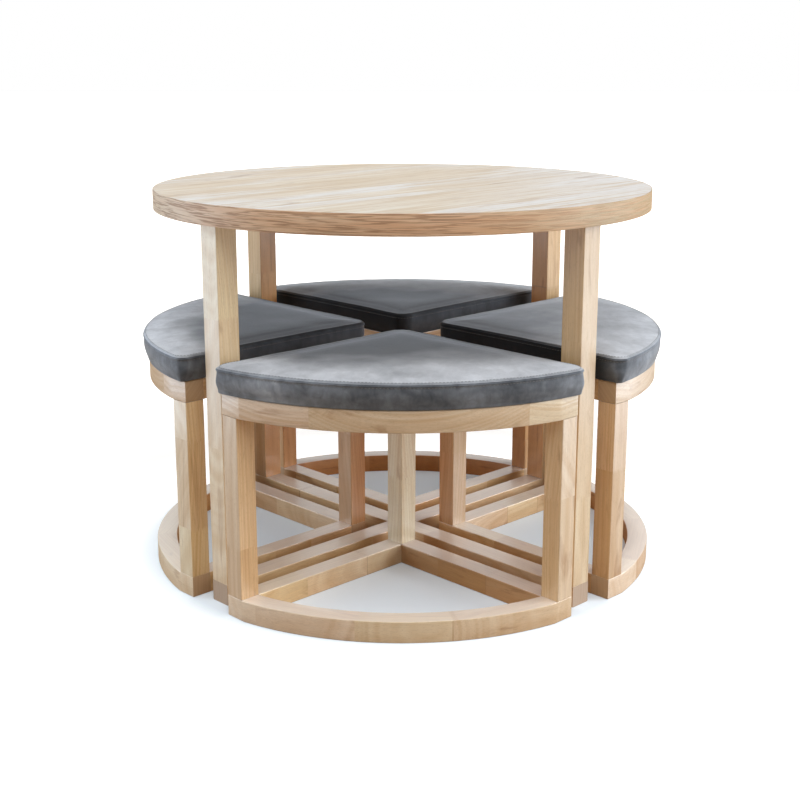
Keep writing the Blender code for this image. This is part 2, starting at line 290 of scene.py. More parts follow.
def ring_pattern(w, point, block):
    """The growth rings round a heart that lies and leans differently in each block."""
    draws = [w.maths("FRACT", w.times(block, n)) for n in (11.0, 17.0, 23.0)]
    lean = w.within(draws[0], 0.0, 1.0, -HEART_LEAN, HEART_LEAN)
    start = w.within(draws[1], 0.0, 1.0, -HEART_WANDER, HEART_WANDER)
    askew = w.maths("MULTIPLY_ADD", w.split(point)["X"], lean, start)
    shift = {"Y": askew, "Z": w.within(draws[2], 0.0, 1.0, 0.0, HEART_WANDER)}
    heart = w.vector("ADD", w.add("ShaderNodeCombineXYZ", shift)[0], HEART_OFFSET)
    radius = w.span(w.vector("ADD", point, heart), (0.0, 1.0, 1.0))
    years = w.maths("ADD", w.maths("DIVIDE", radius, RING_SPACING), w.times(block, 37.0))
    inputs = {"W": years, "Scale": 1.0, "Detail": 2.0}
    rings = w.add("ShaderNodeTexNoise", inputs, noise_dimensions="1D")["Fac"]
    return w.within(rings, 0.32, 0.68)


def beech_group():
    """Outputs the colour, the roughness and the height of beech at a point."""
    tree = bpy.data.node_groups.new("beech_grain", "ShaderNodeTree")
    for way, sockets in (("INPUT", GROUP_INPUTS), ("OUTPUT", GROUP_OUTPUTS)):
        for name, kind in sockets.items():
            tree.interface.new_socket(name, in_out=way, socket_type="NodeSocket" + kind)
    w = Wiring(tree)
    given = w.add("NodeGroupInput", {})
    block = given["Block"]
    point = w.vector("ADD", given["Point"], w.scaled(BLOCK_SPREAD, block))
    wander = w.noise(point, (2.4, 11.0, 11.0), 1.0, output="Color")
    bent = w.scaled(w.vector("SUBTRACT", wander, (0.5, 0.5, 0.5)), GRAIN_WANDER)
    rings = ring_pattern(w, w.vector("ADD", given["Point"], bent), block)
    drift = w.noise(point, (5.0, 34.0, 34.0))
    fibre = w.noise(point, (22.0, 800.0, 800.0), 3.0)
    flecks = w.layer(point, (170.0, 1100.0, 1100.0), 1.0, 0.0, 0.60, 0.72)
    figure = w.layer(point, (6.0, 34.0, 34.0), 3.0, 1.4, 0.60, 0.74)

    ringed = w.maths("ADD", w.times(rings, 0.48), w.within(drift, 0.30, 0.75, 0.0, 0.56))
    colour = w.mix(ringed, BEECH_PALE, BEECH_MID)
    colour = w.coats(colour, (figure, 0.55, BEECH_BROWN), (flecks, 0.30, BEECH_BROWN))
    colour = w.shade(colour, w.within(fibre, 0.2, 0.8, 0.88, 1.10))
    hue = w.mix(w.maths("FRACT", w.times(block, 7.0)), *BLOCK_HUES)
    colour = w.tint(colour, w.tint(hue, w.mix(given["Tone"], *BLOCK_TONES)))
    end = w.within(w.maths("ABSOLUTE", w.split(given["Normal"])["X"]), 0.80, 0.92)
    colour = w.mix(end, colour, w.mix(rings, END_DARK, END_LIGHT))
    # Painted light and shade: the colour is tinted by how far a face looks out of the set or in
    # towards its middle.
    painted_shade_by_facing = w.mix(w.within(given["Outward"], -0.9, -0.1), INWARD_PAINTED_SHADE, SIDEWAYS_PAINTED_TINT)
    painted_shade_by_facing = w.mix(w.within(given["Outward"], 0.2, 0.9), painted_shade_by_facing, OUTWARD_PAINTED_LIGHT)
    colour = w.tint(colour, painted_shade_by_facing)
    # Painted glare: faces that look up are mixed towards white.
    colour = w.mix(w.within(given["Upward"], 0.80, 0.95, 0.0, 0.45), colour, PAINTED_GLARE_WHITE)
    rough = w.within(w.maths("ADD", fibre, w.times(drift, 0.5)), 0.4, 1.1, 0.40, 0.56)
    height = w.maths("SUBTRACT", fibre, w.times(flecks, 0.8))
    w.add("NodeGroupOutput", {"Colour": colour, "Roughness": rough, "Height": height})
    return tree


BEECH = beech_group()
print("beech group:", len(BEECH.nodes), "nodes")

# %% [markdown]
# ## Blocks and finger joints
#
# Each bar is several blocks long, and each block came from another board, so its tone jumps at the
# joints. Where the picture shows them, a bar's joints are given as shares of its length from its
# foot or its outer end, and its blocks' tones from pale, 0, to brown, 1. The others come from a
# seeded draw, so they are the same in every run.

# %% The joints and tones of a bar
SEEN_BLOCKS = {
    "front_left_leg": ((0.40, 0.74), (0.06, 0.06, 0.02)),
    "front_right_leg": ((0.27, 0.62, 0.69), (0.42, 0.52, 0.44, 0.58)),
    "back_left_leg": ((0.33, 0.71), (0.40, 0.25, 0.35)),
    "back_right_leg": ((0.28, 0.66), (0.50, 0.65, 0.50)),
    "front_stool_post_apex": ((0.42,), (0.08, 0.00)),
    "front_stool_post_long_end": ((0.31,), (0.62, 0.50)),
    "front_stool_post_short_end": ((0.56,), (0.48, 0.32)),
    "front_stool_base_rail_long": ((0.34, 0.72), (0.22, 0.00, 0.12)),
    # The front stool's short base rail gets dark tones that are partly the wood's own and partly
    # painted shade, for its face inside the frame.
    "front_stool_base_rail_short": ((0.29, 0.64), (0.92, 1.00, 0.86)),
    "front_stool_apron_curve": ((0.138, 0.313, 0.799), (0.24, 0.46, 0.58, 0.34)),
    "front_stool_base_curve": ((0.171, 0.411, 0.629), (0.24, 0.40, 0.48, 0.62)),
    "left_stool_post_apex": ((0.58,), (0.85, 0.70)),
    "left_stool_post_short_end": ((0.30, 0.76), (0.18, 0.30, 0.12)),
    "left_stool_base_rail_short": (None, (0.40, 0.58, 0.42)),
    "left_stool_apron_curve": (None, (0.72, 0.60, 0.76, 0.55)),
    "left_stool_base_curve": (None, (0.30, 0.18, 0.34)),
    "right_stool_post_apex": ((0.47,), (0.50, 0.62)),
    "right_stool_post_long_end": ((0.62,), (0.66, 0.40)),
    "right_stool_post_short_end": (None, (0.85, 0.95, 0.90)),
    "right_stool_base_rail_short": (None, (0.38, 0.18, 0.32)),
    "right_stool_apron_curve": (None, (0.28, 0.40, 0.24)),
    "back_stool_base_curve": (None, (0.82, 0.95, 0.78)),
    "back_stool_post_long_end": (None, (0.78, 0.92, 0.82)),
    "back_stool_post_short_end": (None, (0.58, 0.70, 0.62)),
}
GLUE_LINE = 0.0005
BLACK, WHITE = (0.0, 0.0, 0.0), (1.0, 1.0, 1.0)


def joints_of(name):
    """A bar's joints, or else two or three at seeded places, a fifth of the bar apart."""
    seen = SEEN_BLOCKS.get(name, (None, None))[0]
    if seen:
        return seen
    dice = random.Random(name + "_joints")
    share = dice.uniform(0.12, 0.40)
    joints = []
    while share < 0.90:
        joints.append(share)
        share += dice.uniform(0.22, 0.46)
    return tuple(joints)


def block_stops(name, length):
    """Ramp stops for a bar's blocks, and for the glue lines between them."""
    dice = random.Random(name)
    joints = joints_of(name)
    starts = (0.0, *joints)
    tones = SEEN_BLOCKS.get(name, (None, None))[1] or [dice.uniform(0.15, 0.80) for _ in starts]
    blocks = [(share, (tone, dice.random(), 0.0)) for share, tone in zip(starts, tones)]
    half = GLUE_LINE / 2 / length
    glue = [(0.0, BLACK)]
    for share in joints:
        glue += [(share - half, WHITE), (share + half, BLACK)]
    return blocks, glue


print("bars with seen blocks:", len(SEEN_BLOCKS))

# %% [markdown]
# The joint itself is a zigzag on two faces and a straight line on the other two. A ramp with
# constant steps does both: it is read at the point's place along the bar, moved to and fro by a
# triangle wave across it. The same stops, a hair's width apart, draw the glue line.

# %% Beech for one bar
FINGER_LENGTH = 0.009
FINGER_PITCH = 0.0040
GLUE_STRENGTH = 0.45
LACQUER = {"Coat Weight": 0.8, "Coat IOR": 1.6, "Coat Roughness": 0.25}
LEVEL = (1.0, 1.0, 0.0)


def zigzag(w, across, unit=1.0):
    """How far the fingers of a joint reach at a place across the bar."""
    wave = w.maths("PINGPONG", across, FINGER_PITCH / 2)
    return w.times(wave, 2 * FINGER_LENGTH / FINGER_PITCH / unit)


def beech_in_axes(name, turn):
    """A beech material, its nodes and the point and normal, turned into a bar's own axes."""
    material, w, shader = new_material(name + "_beech", LACQUER)
    angles = turn.to_euler()
    place = w.add("ShaderNodeTexCoord", {})
    own = w.turned(place["Object"], angles), w.turned(place["Normal"], angles, "VECTOR")
    return material, w, shader, place, *own


def beech_finish(w, shader, place, point, normal, along, stops):
    """Wires the grain, the blocks and the glue lines to the shader."""
    blocks, glue = stops
    tone, block = w.steps(along, blocks)[:2]
    away = w.vector("NORMALIZE", w.vector("MULTIPLY", place["Object"], LEVEL))
    inputs = {
        "Point": point,
        "Normal": normal,
        "Block": block,
        "Tone": tone,
        "Outward": w.vector("DOT_PRODUCT", away, place["Normal"]),
        "Upward": w.split(place["Normal"])["Z"],
    }
    grain = w.add("ShaderNodeGroup", inputs, node_tree=BEECH)
    line = w.times(w.steps(along, glue)[0], GLUE_STRENGTH)
    colour = w.mix(line, grain["Colour"], BEECH_BROWN)
    w.finish(shader, colour, grain["Roughness"], grain["Height"], 0.5)


def bar_beech(name, turn, reach):
    """Beech for a straight bar. turn brings its grain onto X, reach is its ends on that X."""
    material, w, shader, place, point, normal = beech_in_axes(name, turn)
    parts = w.split(point)
    along = w.within(w.maths("ADD", parts["X"], zigzag(w, parts["Y"])), *reach)
    beech_finish(w, shader, place, point, normal, along, block_stops(name, reach[1] - reach[0]))
    return material


# %% [markdown]
# ## Which way each bar runs
#
# A bar's grain always runs along its length. Posts and legs stand up, so their grain is turned from
# Z to X. Rails lie flat at a multiple of 45 degrees.

# %% Give the straight bars their wood
UPRIGHT = Matrix.Rotation(QUARTER, 4, "Y")


def dress(solid, material):
    """Gives a solid one material, in place of any other."""
    solid.data.materials.clear()
    solid.data.materials.append(material)


def dress_bar(name, turn):
    along = [(turn @ v.co).x for v in NODES[name].data.vertices]
    dress(NODES[name], bar_beech(name, turn, (min(along), max(along))))


for leg in ("front_left_leg", "front_right_leg", "back_left_leg", "back_right_leg"):
    dress_bar(leg, UPRIGHT @ about_z(QUARTER / 2))
dress_bar("floor_rail_a", about_z(1.5 * QUARTER))
dress_bar("floor_rail_b", about_z(0.5 * QUARTER))
for stool, heading in STOOLS.items():
    to_own_axes = stool_turn(heading).inverted()
    for level in ("base", "apron"):
        dress_bar(f"{stool}_{level}_rail_long", to_own_axes)
        dress_bar(f"{stool}_{level}_rail_short", about_z(-QUARTER) @ to_own_axes)
    for post in ("post_apex", "post_long_end", "post_short_end"):
        dress_bar(f"{stool}_{post}", UPRIGHT @ to_own_axes)
print("dressed bars:", sum(1 for m in bpy.data.materials if m.name.endswith("_beech")))

# %% [markdown]
# ## The curved rails
#
# A curved rail is sawn from straight-grained blocks that are glued end to end, so its grain runs
# straight through each block, along the middle of that block's arc. The solids have 24 facets to
# the quarter. Here the same outline is drawn with many more, extruded, and its long edges are
# rounded over.

# %% Helpers for meshes
RAIL_ARC_STEPS = 96
ARRIS_ROUND = 0.0015
SHARP_ANGLE = math.radians(35)


def mesh_of(bm, name):
    bmesh.ops.recalc_face_normals(bm, faces=bm.faces)
    mesh = bpy.data.meshes.new(name)
    bm.to_mesh(mesh)
    bm.free()
    return mesh


def smooth_with_creases(mesh):
    mesh.shade_smooth()
    mesh.set_sharp_from_angle(angle=SHARP_ANGLE)
    return mesh


def piece_from(mesh, name, body, replaced=()):
    """Links a finished mesh that rides on a body."""
    piece = linked(name, mesh)
    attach(piece, body)
    if replaced:
        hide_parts(*replaced)
    return piece


def arc(radius, start, end, steps):
    angles = [start + (end - start) * i / steps for i in range(steps + 1)]
    return [(radius * math.cos(a), radius * math.sin(a)) for a in angles]


def rounded_slab(outline, low, high, name):
    """The outline as a solid from low to high, with its upper and lower edges rounded over."""
    bm = bmesh.new()
    base = bm.faces.new([bm.verts.new((x, y, low)) for x, y in outline])
    lifted = bmesh.ops.extrude_face_region(bm, geom=[base])["geom"]
    verts = [v for v in lifted if isinstance(v, bmesh.types.BMVert)]
    bmesh.ops.translate(bm, verts=verts, vec=(0, 0, high - low))
    bmesh.ops.recalc_face_normals(bm, faces=bm.faces)
    rims = [e for e in bm.edges if abs(e.verts[0].co.z - e.verts[1].co.z) < ARRIS_ROUND]
    round_over = {"offset": ARRIS_ROUND, "segments": 3, "profile": 0.5, "affect": "EDGES"}
    bmesh.ops.bevel(bm, geom=rims, clamp_overlap=True, **round_over)
    return mesh_of(bm, name)


# %% The curved rails
def curve_outline():
    """The quarter curve between two square end blocks, in the stool's own axes."""
    inner_radius = CURVE_RADIUS - BAR
    side_inner = SIDE_LINE + BAR
    start = math.acos(POST_FACE / CURVE_RADIUS)
    inner_start = math.asin(side_inner / inner_radius)
    outline = [(POST_FACE - BAR, SIDE_LINE), (POST_FACE, SIDE_LINE)]
    outline += arc(CURVE_RADIUS, start, QUARTER - start, RAIL_ARC_STEPS)
    outline += [(SIDE_LINE, POST_FACE), (SIDE_LINE, POST_FACE - BAR)]
    return outline + arc(inner_radius, QUARTER - inner_start, inner_start, RAIL_ARC_STEPS)


def curve_beech(name, heading):
    """Beech whose grain turns from block to block, round the stool's own Z axis."""
    turned = beech_in_axes(name, stool_turn(heading).inverted())
    material, w, shader, place, *own = turned
    parts = w.split(own[0])
    around = w.maths("DIVIDE", w.maths("ARCTAN2", parts["Y"], parts["X"]), QUARTER)
    length = CURVE_RADIUS * QUARTER
    along = w.maths("ADD", zigzag(w, w.span(own[0], LEVEL), length), around)
    ends = (0.0, *joints_of(name), 1.0)
    middles = [(low, ((low + high) / 2,) * 3) for low, high in zip(ends, ends[1:])]
    turn = w.times(w.maths("ADD", w.steps(along, middles)[0], 1.0), -QUARTER)
    point, normal = [
        w.add("ShaderNodeVectorRotate", {"Vector": v, "Angle": turn}, rotation_type="Z_AXIS")[0]
        for v in own
    ]
    beech_finish(w, shader, place, point, normal, along, block_stops(name, length))
    return material


for stool, heading in STOOLS.items():
    for level in ("base", "apron"):
        node = f"{stool}_{level}_curve"
        low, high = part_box(node)
        mesh = rounded_slab(curve_outline(), low.z, high.z, node + "_smooth")
        mesh.transform(stool_turn(heading))
        piece_from(smooth_with_creases(mesh), node + "_smooth", stool, [node])
        mesh.materials.append(curve_beech(node, heading))
print("curved rails:", len(mesh.vertices), "vertices each")

# %% [markdown]
# ## The table top
#
# The top is a board with a pale, limed oak face, and a strip of darker oak is glued round its rim.
# The two meet in a hairline that shows from close by, so they are two pieces: a disc, and a band
# one and a half millimetres thick that is lathed round it.

# %% Lathe the top and its edge band
LATHE_STEPS = 256
BAND_THICKNESS = 0.0015
BAND_ROUND = 0.0010
HAIRLINE = 0.00015
WELD = 0.000001


def lathed(profile, name):
    """A closed profile of (radius, height) points, turned once round Z."""
    bm = bmesh.new()
    verts = [bm.verts.new((x, 0.0, z)) for x, z in profile]
    edges = [bm.edges.new(pair) for pair in zip(verts, verts[1:] + verts[:1])]
    turn = {"axis": (0, 0, 1), "cent": (0, 0, 0), "angle": 4 * QUARTER, "steps": LATHE_STEPS}
    bmesh.ops.spin(bm, geom=verts + edges, use_merge=True, **turn)
    bmesh.ops.remove_doubles(bm, verts=bm.verts, dist=WELD)
    return smooth_with_creases(mesh_of(bm, name))


def board_profile():
    """The board's section, from the axis to a hair inside the strip."""
    radius = TOP_RADIUS - BAND_THICKNESS - HAIRLINE
    return [(0.0, top_low.z), (radius, top_low.z), (radius, top_high.z), (0.0, top_high.z)]


def band_profile():
    """The strip's section, with its outer corners rounded."""
    inner = TOP_RADIUS - BAND_THICKNESS
    middle = TOP_RADIUS - BAND_ROUND
    high, low = top_high.z - BAND_ROUND, top_low.z + BAND_ROUND
    upper = [(middle + x, high + z) for x, z in arc(BAND_ROUND, QUARTER, 0.0, 4)]
    lower = [(middle + x, low - z) for x, z in arc(BAND_ROUND, 0.0, QUARTER, 4)]
    return [(inner, top_high.z), *upper, *lower, (inner, top_low.z)]


top_board, edge_band = [
    piece_from(lathed(profile, name), name, "table", ["table_top"])
    for name, profile in (
        ("table_top_board", board_profile()),
        ("table_top_edge_band", band_profile()),
    )
]
print("top board", len(top_board.data.vertices), "edge band", len(edge_band.data.vertices))

# %% [markdown]
# ## Limed oak and the oak edge
#
# The face is pale because its pores are filled with white. It runs in long streaks, cream, tan and
# nearly white, with a few darker hearts, and they cross the top on the diagonal. The strip is bent
# round the rim, so its texture is laid out on the unrolled cylinder: the angle times the radius
# goes along the grain, and the height goes across.

# %% The oak of the face
FACE_GRAIN_TURN = (0.0, 0.0, math.radians(-47))
FACE_CREAM = (0.85, 0.77, 0.65)
FACE_TAN = (0.67, 0.52, 0.35)
FACE_WHITE = (0.87, 0.86, 0.86)
FACE_HEART = (0.42, 0.29, 0.20)
# The scale of each layer along, across and through the board, its detail, its distortion and the
# range of the noise that shows.
FACE_LAYERS = {
    "boards": ((0.9, 6.5, 1.0), 1.0, 0.0, 0.38, 0.62),
    "bands": ((1.2, 13.0, 1.0), 4.0, 0.35, 0.44, 0.60),
    "lime": ((1.2, 9.0, 3.0), 3.0, 0.3, 0.47, 0.58),
    "streaks": ((2.4, 42.0, 1.0), 4.0, 0.4, 0.48, 0.60),
    "lines": ((4.5, 120.0, 1.0), 5.0, 0.3, 0.50, 0.61),
    "pores": ((24.0, 420.0, 1.0), 2.0, 0.0, 0.54, 0.66),
    "hearts": ((5.0, 36.0, 7.0), 4.0, 1.2, 0.62, 0.70),
}


def face_oak():
    material, w, shader = new_material("limed_oak_face", {"Specular IOR Level": 0.25})
    place = w.add("ShaderNodeTexCoord", {})["Object"]
    point = w.turned(place, FACE_GRAIN_TURN)
    seen = {name: w.layer(point, *layer) for name, layer in FACE_LAYERS.items()}
    across = w.split(place)
    golden = w.within(w.maths("SUBTRACT", across["Y"], across["X"]), 0.10, 0.60)
    bleached = w.within(across["X"], 0.05, 0.45)
    colour = w.coats(
        FACE_CREAM,
        (seen["bands"], 0.48, FACE_TAN),
        (seen["boards"], 0.15, FACE_TAN),
        (golden, 0.30, FACE_TAN),
        (seen["lime"], 0.70, FACE_WHITE),
        (seen["streaks"], 0.42, FACE_TAN),
        (bleached, 0.72, FACE_WHITE),
        (seen["lines"], 0.65, FACE_TAN),
        (seen["hearts"], 0.50, FACE_HEART),
        (seen["pores"], 0.25, FACE_HEART),
    )
    height = w.maths("SUBTRACT", w.times(seen["lines"], -0.4), seen["pores"])
    w.finish(shader, colour, w.within(seen["lines"], 0.0, 1.0, 0.46, 0.58), height, 0.35)
    return material


# %% The oak of the edge band
EDGE_TAN = (0.64, 0.37, 0.21)
EDGE_LIGHT = (0.76, 0.58, 0.41)
EDGE_YELLOW = (0.37, 0.285, 0.155)
EDGE_GREY = (0.66, 0.57, 0.45)
EDGE_PORE = (0.24, 0.115, 0.055)
SHEET_JOINT_TURN = (0.0, 0.0, -QUARTER)
YELLOW_SHARES = (0.15, 0.75)
GREY_SHARES = (-0.92, -0.45)


def edge_oak():
    material, w, shader = new_material("oak_edge")
    place = w.add("ShaderNodeTexCoord", {})["Object"]
    parts = w.split(w.turned(place, SHEET_JOINT_TURN))
    angle = w.maths("ARCTAN2", w.times(parts["Y"], -1.0), w.times(parts["X"], -1.0))
    strip = {"X": w.times(angle, TOP_RADIUS), "Y": parts["Z"]}
    point = w.add("ShaderNodeCombineXYZ", strip)[0]
    broad = w.layer(point, (2.2, 45.0, 1.0), 2.0, 0.3, 0.30, 0.70)
    lines = w.layer(point, (9.0, 340.0, 1.0), 4.0, 0.8, 0.42, 0.66)
    pores = w.layer(point, (13.0, 400.0, 1.0), 3.0, 0.8, 0.47, 0.57)
    across = w.maths("DIVIDE", w.split(place)["X"], TOP_RADIUS)
    yellow = w.within(across, *YELLOW_SHARES)
    grey = w.within(across, *GREY_SHARES, 0.9, 0.0)
    colour = w.mix(broad, EDGE_TAN, EDGE_LIGHT)
    colour = w.mix(w.times(yellow, 0.8), colour, EDGE_YELLOW)
    colour = w.mix(grey, colour, EDGE_GREY)
    colour = w.coats(
        colour,
        (lines, w.maths("MULTIPLY_ADD", grey, -0.45, 0.55), EDGE_TAN),
        (pores, w.within(yellow, 0.0, 1.0, 0.62, 0.16), EDGE_PORE),
    )
    roughness = w.within(pores, 0.0, 1.0, 0.42, 0.60)
    w.finish(shader, colour, roughness, w.times(pores, -1.0), 0.6)
    return material


top_board.data.materials.append(face_oak())
edge_band.data.materials.append(edge_oak())
print("top finishes:", [m.name for m in (*top_board.data.materials, *edge_band.data.materials)])

# %% [markdown]
# ## The seat boards
#
# Under each cushion lies a sheet of birch plywood, of which only the underside can be seen, through
# the frame, from near the floor. Rotary-cut birch has wide, wavy figure, and across the edge the
# plies lie in light and dark layers.

# %% Birch plywood
PLY_PALE = (0.70, 0.56, 0.38)
PLY_DARK = (0.52, 0.37, 0.22)
PLY_THICKNESS = 0.0014


def birch_plywood():
    material, w, shader = new_material("birch_plywood")
    place = w.add("ShaderNodeTexCoord", {})
    figure = w.layer(place["Object"], (4.0, 38.0, 4.0), 3.0, 1.2, 0.35, 0.70)
    fibre = w.noise(place["Object"], (30.0, 700.0, 30.0))
    colour = w.mix(figure, PLY_PALE, PLY_DARK)
    colour = w.mix(w.within(fibre, 0.4, 0.8, 0.0, 0.35), colour, PLY_DARK)
    layer = w.maths("PINGPONG", w.split(place["Object"])["Z"], PLY_THICKNESS)
    layer = w.within(layer, 0.4 * PLY_THICKNESS, 0.6 * PLY_THICKNESS)
    facing = w.maths("ABSOLUTE", w.split(place["Normal"])["Z"])
    edge = w.within(facing, 0.5, 0.6, 1.0, 0.0)
    colour = w.mix(edge, colour, w.mix(layer, PLY_PALE, PLY_DARK))
    w.finish(shader, colour, w.within(fibre, 0.3, 0.7, 0.60, 0.75), fibre, 0.3)
    return material


plywood = birch_plywood()
for stool in STOOLS:
    dress(NODES[stool + "_seat_board"], plywood)
print("seat boards:", len(STOOLS))

# %% [markdown]
# ## The shape of a cushion
#
# A seat cushion is a slab of foam in a boxed cover: a top panel and a side strip, sewn together
# along the upper edge. It is built from closed rings with the same number of points each, so that
# a seam or a row of stitches is simply one more ring. A ring runs along the +X side, round a
# corner, along the arc, round the other corner and back to the rounded tip.

# %% Cushion sizes and rings
cushion_points = own_points("cushion")
cushion_low = min(p.z for p in cushion_points)
cushion_high = max(p.z for p in cushion_points)
CUSHION_RADIUS = max(p.xy.length for p in cushion_points)
CUSHION_SIDE = SIDE_LINE - (CUSHION_RADIUS - CURVE_RADIUS)
CROWN = 0.0100
SEAM_HEIGHT = cushion_high - CROWN
CORNER_ROUND = 0.022
TIP_ROUND = 0.030
SIDE_PULL = 0.003
SIDE_POINTS, CORNER_POINTS, ARC_POINTS, TIP_POINTS = 54, 9, 84, 12


def sector_ring(inset, corner=None, tip=None, pull=SIDE_PULL):
    """The cushion's outline, this far inside its largest one, as (x, y) points."""
    side = CUSHION_SIDE + inset
    radius = CUSHION_RADIUS - inset
    corner = max(CORNER_ROUND - 0.3 * inset, CORNER_ROUND / 3) if corner is None else corner
    tip = max(TIP_ROUND - inset, TIP_ROUND / 3) if tip is None else tip
    corner_x = math.sqrt((radius - corner) ** 2 - (side + corner) ** 2)
    corner_end = math.atan2(side + corner, corner_x)
    half = []
    for i in range(SIDE_POINTS):
        share = i / SIDE_POINTS
        x = side + tip + (corner_x - side - tip) * share
        half.append((x, side + pull * math.sin(math.pi * share)))
    for i in range(CORNER_POINTS):
        turn = -QUARTER + (corner_end + QUARTER) * i / CORNER_POINTS
        half.append((corner_x + corner * math.cos(turn), side + corner + corner * math.sin(turn)))
    outer = arc(radius, corner_end, QUARTER - corner_end, ARC_POINTS)
    mirrored = [(y, x) for x, y in reversed(half)]
    turns = [2 * QUARTER + QUARTER * i / TIP_POINTS for i in range(1, TIP_POINTS)]
    rounded = [(side + tip + tip * math.cos(a), side + tip + tip * math.sin(a)) for a in turns]
    return half + outer + mirrored + rounded


def skinned(bm, rings):
    """Joins rings of points into a skin with a face below, and gives its open end above."""
    loops = [[bm.verts.new(p) for p in ring] for ring in rings]
    count = len(loops[0])
    for lower, upper in zip(loops, loops[1:]):
        for i in range(count):
            after = (i + 1) % count
            bm.faces.new((lower[i], lower[after], upper[after], upper[i]))
    bm.faces.new(list(reversed(loops[0])))
    return loops[-1]


def rings_to_bmesh(rings, cap_point):
    """The skin of the rings, closed by a fan above."""
    bm = bmesh.new()
    end = skinned(bm, rings)
    middle = bm.verts.new(cap_point)
    for i, vert in enumerate(end):
        bm.faces.new((vert, end[(i + 1) % len(end)], middle))
    return bm


print(f"cushion radius {CUSHION_RADIUS:.4f}, seam at {SEAM_HEIGHT:.4f}")
print("points in a ring:", len(sector_ring(0.0)))

# %% [markdown]
# ## Stuffing the cover
#
# The crown of a cushion is what foam does to a sewn cover. So a slightly smaller slab is remeshed
# into even faces, made of cloth, held fast along its lower edge and inflated for twenty frames. The
# result is only used as a surface to measure: the visible cushion keeps its tidy rings and takes
# its swelling from the cloth.

# %% Inflate one slab of cloth
VOXEL = 0.006
START_INSET = 0.004
CLOTH_FRAMES = 20
CLOTH_PRESSURE = 4.0
TRAVEL_CAP = 0.014
HELD_HEIGHT = 0.010
PANEL_MIDDLE = Vector((0.235, 0.235, 0.0))


def flat(points, z):
    return [(x, y, z) for x, y in points]


def towards_middle(points, share, z):
    """The outline drawn in towards the middle of the panel."""
    mid = PANEL_MIDDLE
    return [(x + (mid.x - x) * share, y + (mid.y - y) * share, z) for x, y in points]


def foam_slab():
    outline = sector_ring(START_INSET)
    rings = [flat(outline, cushion_low + START_INSET), flat(outline, SEAM_HEIGHT)]
    rings += [towards_middle(outline, share, SEAM_HEIGHT) for share in (0.3, 0.6)]
    top = (PANEL_MIDDLE.x, PANEL_MIDDLE.y, SEAM_HEIGHT)
    return mesh_of(rings_to_bmesh(rings, top), "foam_slab")


def evaluated_copy(obj):
    graph = bpy.context.evaluated_depsgraph_get()
    return bpy.data.meshes.new_from_object(obj.evaluated_get(graph))


def inflated_slab():
    """The slab after twenty frames of pressure, as a mesh."""
    slab = linked("foam_slab", foam_slab())
    remesh = slab.modifiers.new("even_faces", "REMESH")
    remesh.mode = "VOXEL"
    remesh.voxel_size = VOXEL
    slab.data = evaluated_copy(slab)
    slab.modifiers.clear()
    held = slab.vertex_groups.new(name="held")
    low_points = [v.index for v in slab.data.vertices if v.co.z < cushion_low + HELD_HEIGHT]
    held.add(low_points, 1.0, "REPLACE")
    cloth = slab.modifiers.new("cover", "CLOTH")
    cloth.settings.use_pressure = True
    cloth.settings.uniform_pressure_force = CLOTH_PRESSURE
    cloth.settings.vertex_group_mass = "held"
    cloth.settings.effector_weights.gravity = 0.0
    cloth.point_cache.frame_end = CLOTH_FRAMES
    start = [v.co.copy() for v in slab.data.vertices]
    for step in range(1, CLOTH_FRAMES + 1):
        bpy.context.scene.frame_set(step)
    swollen = evaluated_copy(slab)
    for vertex, origin in zip(swollen.vertices, start):
        travel = vertex.co - origin
        if travel.length > TRAVEL_CAP:
            vertex.co = origin + travel.normalized() * TRAVEL_CAP
    bpy.context.scene.frame_set(1)
    bpy.data.objects.remove(slab, do_unlink=True)
    return swollen


swollen_tree = None
swollen = inflated_slab()
places = [v.co for v in swollen.vertices]
swollen_tree = BVHTree.FromPolygons(places, [p.vertices for p in swollen.polygons])
print("cloth points:", len(places), "highest", round(max(p.z for p in places), 4))

# %% [markdown]
# ## Drawing the cushion
#
# From the pocket for the seat board the rings go out under the rim, up the side strip, in at the
# seam and over the crown. A plain crown is blended with the one that the cloth gives.

# %% Rings of the cushion
SEAM_ROLL = 0.0008
SEAM_GROOVE = 0.0014
STITCH_ROW = 0.0045
RIM_ROUND = 0.005
RIM_TUCK = 0.0024
STRIP_INSET = 0.0012
CORNER_LOW = 0.009
SIDE_BULGE = 0.0020
SIDE_TAPER = 0.0050
SIDE_STEPS = 12
PANEL_STEPS = 30
POCKET_CLEARANCE = 0.0006
CREASE_BLEND = 0.030
CROWN_REACH = 0.150
EDGE_ROLL = 0.009
ROLL_SHARE = 0.22
SMOOTHING = 0.016
CLOTH_SHARE = 0.30
CROWN_CURVE, TAPER_CURVE, CORNER_CURVE, PANEL_CURVE = 2.4, 1.4, 0.7, 1.15
PANEL_LIFT = 0.0024
# How far the rim is tucked in and rolled up, and the seam's insets and heights from its groove.
RIM_ROLL = ((1.30, 0.0), (1.0, 0.0), (0.45, 0.12), (0.12, 0.45))
SEAM_ROLL_UP = (
    (0.0006, -STITCH_ROW * 0.55),
    (-SEAM_ROLL * 0.3, -STITCH_ROW * 0.30),
    (SEAM_ROLL * 0.4, -0.0004),
    (SEAM_GROOVE, 0.0),
    (SEAM_ROLL * 0.9, 0.0007),
    (SEAM_ROLL * 1.4, 0.0013),
    (SEAM_ROLL * 2.4, 0.0018),
    (SEAM_ROLL * 3.8, 0.0022),
)
board_points = own_points("seat_board")
BOARD_TOP = max(p.z for p in board_points)
BOARD_SIDE = min(p.y for p in board_points)
BOARD_FACE = max(p.x for p in board_points)


